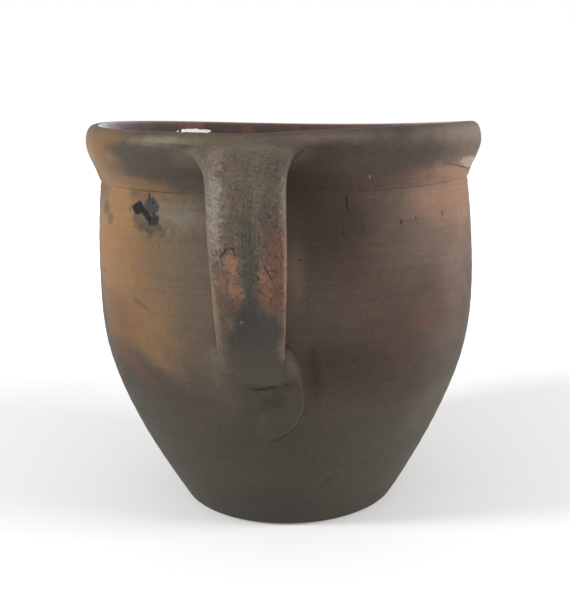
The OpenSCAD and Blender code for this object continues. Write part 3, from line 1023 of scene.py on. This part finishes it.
def settings():
    """The user's sizes, kept on the scene."""
    return bpy.context.scene.crock_throwing, bpy.context.scene.crock_strap


def turn_angle(co):
    """Angle of each point from the handle, growing towards +X."""
    return np.arctan2(co[:, 0], -co[:, 1])


class CROCK_OT_throw_body(bpy.types.Operator):
    """Throws the body: draws the profile, spins it and gives it the marks of the potter's hands"""

    bl_idname = "crock.throw_body"
    bl_label = "Throw the body"

    def execute(self, context):
        shape = settings()[0]
        curves = (
            split(FOOT_FACE, 2) + [FOOT_CORNER] + split(LOWER_WALL, 13)
            + split(SHOULDER, 6) + split(NECK, 4) + split(RIM_OUTSIDE, 2)
            + [RIM_INSIDE] + split(NECK_INSIDE, 2) + split(UPPER_INSIDE, 3) + split(LOWER_INSIDE, 7) + [FLOOR_INSIDE]
        )
        body = draw_chain("crock_body_thrown", curves, 6)
        spin_round(body, shape.turns)
        body.name = body.data.name = "crock_body_thrown"
        co = mesh_points(body.data)
        radius = np.hypot(co[:, 0], co[:, 1])
        angle = turn_angle(co)
        height = co[:, 2].copy()
        skin = BELLY_IN_R + 1.5 * MM
        depth = wall_radius(height) - radius
        outer = np.clip(1 - depth / (3 * MM), 0, 1) * np.clip(height / (12 * MM), 0, 1)
        inner = np.clip(depth / (3 * MM) - 1, 0, 1) * np.clip(radius / skin, 0, 1)
        rim_calm = np.clip((CREST_Z - height) / (14 * MM), 0.25, 1)
        step = rim_calm * (
            outer * wall_marks(angle, height, co, shape) + inner * inside_marks(angle, height, co, shape)
        )
        co[:, 0] += step * np.sin(angle)
        co[:, 1] -= step * np.cos(angle)
        co[:, 2] += rim_sag(angle, height, shape)
        set_mesh_points(body.data, co)
        keep_marks(body, HEIGHT_MARK, "FLOAT", height)
        body.data.materials.clear()
        body.data.materials.append(smoked_clay())
        hand_over(body, "crock_body")
        return {"FINISHED"}


class CROCK_OT_line_with_glaze(bpy.types.Operator):
    """Lines the inside with a coat of glaze that ends unevenly just inside the crest"""

    bl_idname = "crock.line_with_glaze"
    bl_label = "Line with glaze"

    def execute(self, context):
        shape = settings()[0]
        inner_rim = split(RIM_INSIDE, 6)[1:]
        curves = inner_rim + split(NECK_INSIDE, 2) + split(UPPER_INSIDE, 4) + split(LOWER_INSIDE, 9) + [FLOOR_INSIDE]
        coat = draw_chain("glaze_coat", curves, 5)
        spin_round(coat, 256)
        coat.name = coat.data.name = "glaze_coat"
        co = mesh_points(coat.data)
        radius = np.hypot(co[:, 0], co[:, 1])
        angle = turn_angle(co)
        height = co[:, 2].copy()
        rim_calm = np.clip((CREST_Z - height) / (14 * MM), 0.25, 1)
        depth = wall_radius(height) - radius
        inner = np.clip(depth / (3 * MM) - 1, 0, 1) * np.clip(radius / (BELLY_IN_R + 1.5 * MM), 0, 1)
        step = rim_calm * inner * inside_marks(angle, height, co, shape)
        co[:, 0] += step * np.sin(angle)
        co[:, 1] -= step * np.cos(angle)
        co[:, 2] += rim_sag(angle, height, shape)
        set_mesh_points(coat.data, co)
        keep_marks(coat, HEIGHT_MARK, "FLOAT", height)
        only(coat)
        bpy.ops.object.mode_set(mode="EDIT")
        bpy.ops.mesh.select_all(action="SELECT")
        bpy.ops.mesh.normals_make_consistent(inside=True)
        bpy.ops.object.mode_set(mode="OBJECT")
        thick = coat.modifiers.new("coat thickness", "SOLIDIFY")
        thick.thickness = GLAZE_THICKNESS
        thick.offset = 1
        bpy.ops.object.modifier_apply(modifier=thick.name)
        coat.data.materials.clear()
        coat.data.materials.append(lead_glaze())
        hand_over(coat, "glaze_lining")
        return {"FINISHED"}


def strap_path(strap):
    """The strap's middle line as rows of distance from the axis and height, with the run to each row."""
    root = np.array([RIM_R - 8 * MM, CREST_Z - 10 * MM])
    turn = np.array([RIM_R + strap.stand - strap.thickness / 2, CREST_Z - 33 * MM])
    foot = np.array([wall_radius(strap.foot_z) + 0.5 * MM, strap.foot_z])
    over = along([root, root + [17 * MM, 0.5 * MM], turn + [0, 15 * MM], turn], np.linspace(0, 1, 60))
    down = along(swing(turn, foot, 180, 192, 0.5, 0.3), np.linspace(0, 1, 120))[1:]
    rows = np.concatenate([over, down])
    run = np.concatenate([[0], np.cumsum(np.linalg.norm(np.diff(rows, axis=0), axis=1))])
    return rows, run


SECTION_POINTS = 56


def signed_power(value, power):
    """A power that keeps the sign, for rounding a section's corners."""
    return np.sign(value) * np.abs(value) ** power


def strap_section(run, length, strap):
    """Across and outward places of a section's points at a run along the strap, and their share of its face."""
    turn = 2 * math.pi * (np.arange(SECTION_POINTS) + 0.5) / SECTION_POINTS - math.pi
    left = strap.half_left + 30 * MM * math.exp(-((run / (15.6 * MM)) ** 1.83)) + 6.5 * MM * max(0, run / length - 0.6)
    right = strap.half_right + 12 * MM * math.exp(-((run / (9.5 * MM)) ** 1.4))
    right -= 4.6 * MM * np.clip((run / length - 0.42) / 0.45, 0, 1) ** 1.3
    thick = strap.thickness + 3.5 * MM * math.exp(-((run / (16 * MM)) ** 2))
    thick -= 3.4 * MM * math.exp(-(((length - run) / (30 * MM)) ** 2))
    tip = np.clip((length - run) / (7 * MM), 0, 1)
    round_tip = math.sqrt(1 - (1 - tip) ** 2)
    flare = math.exp(-((run / (14 * MM)) ** 2))
    across = signed_power(np.cos(turn), 0.7 + 0.3 * flare)
    across = np.where(across > 0, right * (0.86 + 0.14 * round_tip), left * (0.62 + 0.38 * round_tip)) * across
    out = thick / 2 * (0.7 + 0.3 * round_tip) * signed_power(np.sin(turn), 0.6 + 2.6 * flare)
    upper = np.clip(out / (thick / 2), 0, 1)
    worked = np.clip((run - 10 * MM) / (24 * MM), 0, 1) * np.clip((length - run) / (26 * MM), 0, 1)
    dip = strap.channel * np.exp(-((across / (6.5 * MM)) ** 2))
    ridge_left = 0.8 * MM * np.exp(-(((across + left - 4 * MM) / (2.6 * MM)) ** 2))
    ridge_right = 0.45 * MM * np.exp(-(((across - right + 3.5 * MM) / (2.4 * MM)) ** 2))
    return across, out + upper * worked * (ridge_left + ridge_right - dip), upper


class CROCK_OT_pull_strap(bpy.types.Operator):
    """Pulls the strap handle and lutes its root to the rim"""

    bl_idname = "crock.pull_strap"
    bl_label = "Pull the strap"

    def execute(self, context):
        shape, strap = settings()
        rows, run = strap_path(strap)
        length = run[-1]
        free_start = 10 * MM
        stations = np.concatenate(
            [np.linspace(free_start, 0.5 * length, 44), np.linspace(0.5 * length, length, 46)[1:]]
        )
        free_rings, marks = [], []
        for at in stations:
            here = np.array([np.interp(at, run, rows[:, k]) for k in (0, 1)])
            ahead = np.array([np.interp(min(at + MM, length), run, rows[:, k]) for k in (0, 1)])
            behind = np.array([np.interp(at - MM, run, rows[:, k]) for k in (0, 1)])
            step = (ahead - behind) / np.linalg.norm(ahead - behind)
            outward = np.array([-step[1], step[0]])
            across, out, outward_share = strap_section(at, length, strap)
            places = here + out[:, None] * outward
            ring = np.stack([across, -places[:, 0], places[:, 1]], -1)
            reach = np.abs(across) / np.where(across > 0, across.max(), -across.min())
            hug = math.exp(-(((at - free_start) / (7.5 * MM)) ** 2)) * reach**2.4
            ring[:, 2] += 2 * MM * hug
            wall_y = on_wall(across, ring[:, 2], np.full(len(across), 0.4 * MM), shape)[:, 1]
            ring[:, 1] += hug * (wall_y - ring[:, 1])
            free_rings.append(ring)
            marks.append(np.stack([across, np.full(len(across), at), outward_share], -1))
        skirt, skirt_marks = self.root_skirt(free_rings[0], marks[0], shape)
        rings = [ring + sag_step(ring, shape) for ring in free_rings]
        piece, order = loft("strap_pulled", skirt + rings)
        co = mesh_points(piece.data)
        pulled = np.zeros((len(co), 3))
        pulled[order] = np.concatenate(skirt_marks + marks)
        uneven = 0.25 * MM * lumps(co, 16 * MM, 6) + 0.12 * MM * lumps(co * [1, 1, 0.45], 5 * MM, 7)
        normals = np.zeros(len(co) * 3)
        piece.data.vertices.foreach_get("normal", normals)
        free = np.clip((pulled[:, 1] - 4 * MM) / (8 * MM), 0, 1)
        co += normals.reshape(-1, 3) * (uneven * free)[:, None]
        set_mesh_points(piece.data, co)
        keep_marks(piece, STRAP_MARK, "FLOAT_VECTOR", pulled)
        keep_marks(piece, HEIGHT_MARK, "FLOAT", co[:, 2] - rim_sag(turn_angle(co), co[:, 2], shape))
        piece.data.materials.clear()
        piece.data.materials.append(handled_clay())
        hand_over(piece, "strap_handle")
        return {"FINISHED"}

    @staticmethod
    def root_skirt(first_ring, first_marks, shape):
        """Rings from inside the wall, out onto the rim and neck, and up into the strap's first free ring."""
        turn = 2 * math.pi * (np.arange(SECTION_POINTS) + 0.5) / SECTION_POINTS - math.pi
        side, rise = signed_power(np.cos(turn), 0.85), np.sin(turn)
        x = np.where(side > 0, 28 * MM, 48 * MM) * side
        # Line that the two ends of the root die out on: near the widest line of the rim, higher on the right
        middle = CREST_Z - 7.6 * MM + 2.4 * MM * np.clip(x / (28 * MM), 0, 1)
        top, low = CREST_Z - 0.7 * MM - middle, middle - CREST_Z + 20 * MM
        steep = np.where(side > 0, 2.4, 1.8)
        z = middle + np.where(rise > 0, top * signed_power(rise, 1.1), low * signed_power(rise, steep))
        flush = np.full(len(x), 0.05 * MM)
        edge = on_wall(x, z, flush, shape)
        inner = on_wall(0.97 * x, middle + 0.97 * (z - middle), flush, shape)
        outside = on_wall(1.04 * x, middle + 1.04 * (z - middle), np.full(len(x), -0.3 * MM), shape)
        behind = on_wall(0.5 * x, middle + 0.5 * (z - middle), np.full(len(x), -3.5 * MM), shape)
        start = first_ring + sag_step(first_ring, shape)
        reach = np.linalg.norm(edge - start, axis=1)[:, None]
        along_wall = (inner - edge) / np.linalg.norm(inner - edge, axis=1)[:, None]
        control = [edge, edge + 0.45 * reach * along_wall, start + [0, 0.42, 0] * reach, start]
        rings = [behind, outside]
        shares = np.linspace(0, 1, 11)[:-1]
        for t in shares:
            rings.append(
                (1 - t) ** 3 * control[0] + 3 * (1 - t) ** 2 * t * control[1]
                + 3 * (1 - t) * t**2 * control[2] + t**3 * control[3]
            )
        marks = []
        for share in np.concatenate([[0, 0], shares]):
            row = first_marks.copy()
            row[:, 1] *= share
            marks.append(row)
        return rings, marks


def sag_step(ring, shape):
    """How far the sagging rim carries each point of a ring, as rows."""
    step = np.zeros_like(ring)
    step[:, 2] = rim_sag(turn_angle(ring), ring[:, 2], shape)
    return step


def pressed_clay(x, z, strap):
    """How proud of the wall the clay below the strap stands, at x and height z, and how much shade is painted along
    its edge and crease.
    """
    x, z = x / MM, z / MM
    foot = strap.foot_z / MM

    def step(distance, width):
        return 1 / (1 + np.exp(-np.clip(distance / width, -30, 30)))

    above, below = np.clip(z - foot, 0, 18), np.clip((foot - z) / 30, 0, 1)
    level = (2.9 + 0.06 * above + 0.008 * above**2) * (1 - below) ** 1.2
    level += 1.4 * step(-9 - x, 1.8) * step(105 - z, 2.2) * (1 - below)
    left_line = -21 + 12 * below**1.4
    web = level * step(x - left_line, 1.6 + 2.6 * below) * step(14 - x, 1.0) * step(110 - z, 1.0)
    low = np.clip((83 - z) / 22, 0, 1)
    middle = 7.3 - 1.5 * low - 4.0 * low**2
    beside = np.abs(x - middle) / (13.6 - 4.0 * low**2)
    along_lobe = np.where(z > 83, (z - 83) / 28.5, (83 - z) / 21.5)
    reach = (beside**2.6 + np.clip(along_lobe, 0, 3) ** 2.6) ** (1 / 2.6)
    fade = np.clip((x + 8) / 16, 0, 1)
    fade = fade**2 * (3 - 2 * fade)
    edge = (1 - reach) * 13
    lobe = step(edge - 0.6, 0.35 + 0.5 * low) * fade
    height = np.maximum(web, np.minimum(level + 2.4 * below, 3.0 - 0.8 * low + 0.2 * above) * lobe)
    crease_z = foot - 1.5 + 0.012 * (x + 2) ** 2
    under = np.maximum(crease_z - z, 0)
    hollow = np.exp(-(((x - 8.5) / 8) ** 2)) * step(crease_z - z, 0.35) * np.exp(-((under / 13) ** 2))
    # Painted shade: a soft band just outside the lobe's edge, narrowing towards its bottom, and a thin line along the
    # crease
    softness = 2.4 - 1.6 * np.minimum(2 * low, 1)
    painted_shade = (0.6 + 0.2 * low) * np.exp(-(((edge + 0.6 * softness) / softness) ** 2)) * np.clip((x - 1) / 8, 0, 1)
    painted_shade = np.maximum(painted_shade, np.exp(-(((z - crease_z + 0.6) / 0.7) ** 2)) * step(x + 4, 1.4) * step(13 - x, 1.2))
    return (height - 2.3 * hollow * np.maximum(lobe, 0.5 * fade)) * MM, painted_shade


class CROCK_OT_press_terminal(bpy.types.Operator):
    """Presses the clay below the strap onto the wall with a thumb"""

    bl_idname = "crock.press_terminal"
    bl_label = "Press the terminal"

    def execute(self, context):
        shape, strap = settings()
        clear_selection()
        bpy.ops.mesh.primitive_grid_add(x_subdivisions=110, y_subdivisions=130, size=2, location=(0, 0, 0))
        piece = context.object
        piece.name = piece.data.name = "terminal_pressed"
        co = mesh_points(piece.data)
        x = -4 * MM + 29 * MM * co[:, 0]
        z = 88 * MM + 31 * MM * co[:, 1]
        border = np.maximum(np.abs(co[:, 0]), np.abs(co[:, 1]))
        proud, painted_shade = pressed_clay(x, z, strap)
        proud *= np.clip((1 - border) / 0.12, 0, 1)
        proud += 0.12 * MM * lumps(np.stack([x, z, 0 * x], -1), 7 * MM, 8) * np.clip(proud / (1.5 * MM), 0, 1)
        buried = np.clip(1 - proud / (0.12 * MM), 0, 1)
        proud = proud + 0.03 * MM - 0.4 * MM * buried - np.where(border > 0.97, 0.2 * MM, 0)
        set_mesh_points(piece.data, on_wall(x, z, proud, shape))
        keep_marks(piece, PAINTED_SHADE_MARK, "FLOAT", painted_shade)
        only(piece)
        bpy.ops.object.mode_set(mode="EDIT")
        bpy.ops.mesh.select_all(action="SELECT")
        bpy.ops.mesh.normals_make_consistent(inside=False)
        bpy.ops.object.mode_set(mode="OBJECT")
        if piece.data.polygons[len(piece.data.polygons) // 2].normal.y > 0:
            bpy.ops.object.mode_set(mode="EDIT")
            bpy.ops.mesh.select_all(action="SELECT")
            bpy.ops.mesh.flip_normals()
            bpy.ops.object.mode_set(mode="OBJECT")
        thick = piece.modifiers.new("clay behind", "SOLIDIFY")
        thick.thickness = 1.2 * MM
        thick.offset = -1
        bpy.ops.object.modifier_apply(modifier=thick.name)
        keep_marks(piece, HEIGHT_MARK, "FLOAT", mesh_points(piece.data)[:, 2])
        piece.data.materials.clear()
        piece.data.materials.append(smoked_clay())
        hand_over(piece, "thumbed_terminal")
        return {"FINISHED"}


# Stage


POT_MIDDLE = Vector((0, 0, 0.11))


def studio_lamp(name, place, width, height, power):
    """Hangs a soft lamp that faces the middle of the pot."""
    clear_selection()
    bpy.ops.object.light_add(type="AREA", location=place)
    lamp = bpy.context.object
    lamp.name = lamp.data.name = name
    lamp.data.shape = "RECTANGLE"
    lamp.data.size = width
    lamp.data.size_y = height
    lamp.data.energy = power
    lamp.rotation_euler = (Vector(place) - POT_MIDDLE).to_track_quat("Z", "Y").to_euler()


def seen_plainly(tree):
    """1 for the rays that show the backdrop: to the camera, and in gloss or through glass."""
    rays = add_node(tree, "LightPath").outputs
    return calc(
        tree, "MAXIMUM", rays["Is Camera Ray"],
        calc(tree, "MAXIMUM", rays["Is Glossy Ray"], rays["Is Transmission Ray"]),
    )


class CROCK_OT_set_stage(bpy.types.Operator):
    """Sets the camera, the lamps, the even light and the pale floor"""

    bl_idname = "crock.set_stage"
    bl_label = "Set the stage"

    def execute(self, context):
        stage = context.scene.crock_stage
        self.place_camera(context, stage)
        studio_lamp("key_lamp", (-1.45, -0.75, 0.85), 0.34, 0.34, stage.key)
        studio_lamp("fill_lamp", (1.5, -0.33, 0.66), 0.68, 0.44, stage.fill)
        self.light_room(context, stage)
        self.lay_floor()
        context.scene.view_settings.view_transform = "Standard"
        return {"FINISHED"}

    @staticmethod
    def place_camera(context, stage):
        """Stands the camera where the photographer stood."""
        right = Vector((math.cos(stage.swing), math.sin(stage.swing), 0))
        ahead = Vector((-math.sin(stage.swing), math.cos(stage.swing), 0))
        side = math.cos(stage.turn) * right - math.sin(stage.turn) * ahead
        level = math.sin(stage.turn) * right + math.cos(stage.turn) * ahead
        up = Vector((0, 0, 1))
        look = math.cos(stage.pitch) * level - math.sin(stage.pitch) * up
        crown = math.sin(stage.pitch) * level + math.cos(stage.pitch) * up
        across = math.cos(stage.roll) * side - math.sin(stage.roll) * crown
        rise = math.sin(stage.roll) * side + math.cos(stage.roll) * crown
        bpy.ops.object.camera_add()
        camera = context.object
        camera.name = camera.data.name = "photo_camera"
        columns = Matrix((across, rise, -look)).transposed().to_4x4()
        columns.translation = Vector((0, 0, stage.height)) - stage.distance * ahead
        camera.matrix_world = columns
        camera.data.sensor_width = 36
        camera.data.lens = 36 * stage.focal
        camera.data.clip_start = 0.01
        context.scene.camera = camera

    @staticmethod
    def light_room(context, stage):
        """Even light from all sides, seen as white by the camera."""
        world = bpy.data.worlds.new("studio")
        context.scene.world = world
        world.use_nodes = True
        tree = world.node_tree
        background = tree.nodes["Background"]
        background.inputs["Color"].default_value = (1, 1, 1, 1)
        strength = add_node(
            tree, "Mix", {0: seen_plainly(tree), 2: stage.room, 3: 1.0}, data_type="FLOAT"
        ).outputs[0]
        tree.links.new(strength, background.inputs["Strength"])

    @staticmethod
    def lay_floor():
        """A wide white floor that keeps the pot's shadow."""
        clear_selection()
        bpy.ops.mesh.primitive_plane_add(size=8, location=(0, 0, 0))
        floor = bpy.context.object
        floor.name = floor.data.name = "studio_floor"
        material, tree, shader = new_material("studio_white")
        shader.inputs["Base Color"].default_value = (0.9, 0.9, 0.9, 1)
        shader.inputs["Roughness"].default_value = 0.9
        shader.inputs["Specular IOR Level"].default_value = 0.0
        place = add_node(tree, "TexCoord").outputs["Object"]
        reach = add_node(tree, "VectorMath", {0: place}, operation="LENGTH").outputs["Value"]
        glow = calc(tree, "MULTIPLY", seen_plainly(tree), remap(tree, reach, 0.25, 0.9, 0.2, 1.0))
        shader.inputs["Emission Color"].default_value = (1, 1, 1, 1)
        tree.links.new(glow, shader.inputs["Emission Strength"])
        floor.data.materials.append(material)


class CROCK_PT_maker(bpy.types.Panel):
    """Sizes, colours and steps of the crock"""

    bl_label = "Redware crock"
    bl_idname = "CROCK_PT_maker"
    bl_space_type = "VIEW_3D"
    bl_region_type = "UI"
    bl_category = "Crock"

    def draw(self, context):
        for group in (context.scene.crock_throwing, context.scene.crock_strap, context.scene.crock_colours):
            box = self.layout.box()
            for key in group.bl_rna.properties.keys():
                if key not in {"rna_type", "name"}:
                    box.prop(group, key)
        for step in STEPS:
            self.layout.operator(step.bl_idname)


GROUPS = (
    ("crock_throwing", CrockThrowing),
    ("crock_strap", CrockStrap),
    ("crock_colours", CrockColours),
    ("crock_stage", CrockStage),
)
STEPS = (
    CROCK_OT_throw_body, CROCK_OT_line_with_glaze, CROCK_OT_pull_strap, CROCK_OT_press_terminal, CROCK_OT_set_stage,
)


def register():
    for key, group in GROUPS:
        bpy.utils.register_class(group)
        setattr(bpy.types.Scene, key, bpy.props.PointerProperty(type=group))
    for kind in STEPS + (CROCK_PT_maker,):
        bpy.utils.register_class(kind)


def unregister():
    for kind in reversed(STEPS + (CROCK_PT_maker,)):
        bpy.utils.unregister_class(kind)
    for key, group in reversed(GROUPS):
        delattr(bpy.types.Scene, key)
        bpy.utils.unregister_class(group)


def main():
    """Makes every piece and the stage."""
    register()
    bpy.ops.crock.throw_body()
    bpy.ops.crock.line_with_glaze()
    bpy.ops.crock.pull_strap()
    bpy.ops.crock.press_terminal()
    bpy.ops.crock.set_stage()


if __name__ == "__main__":
    main()
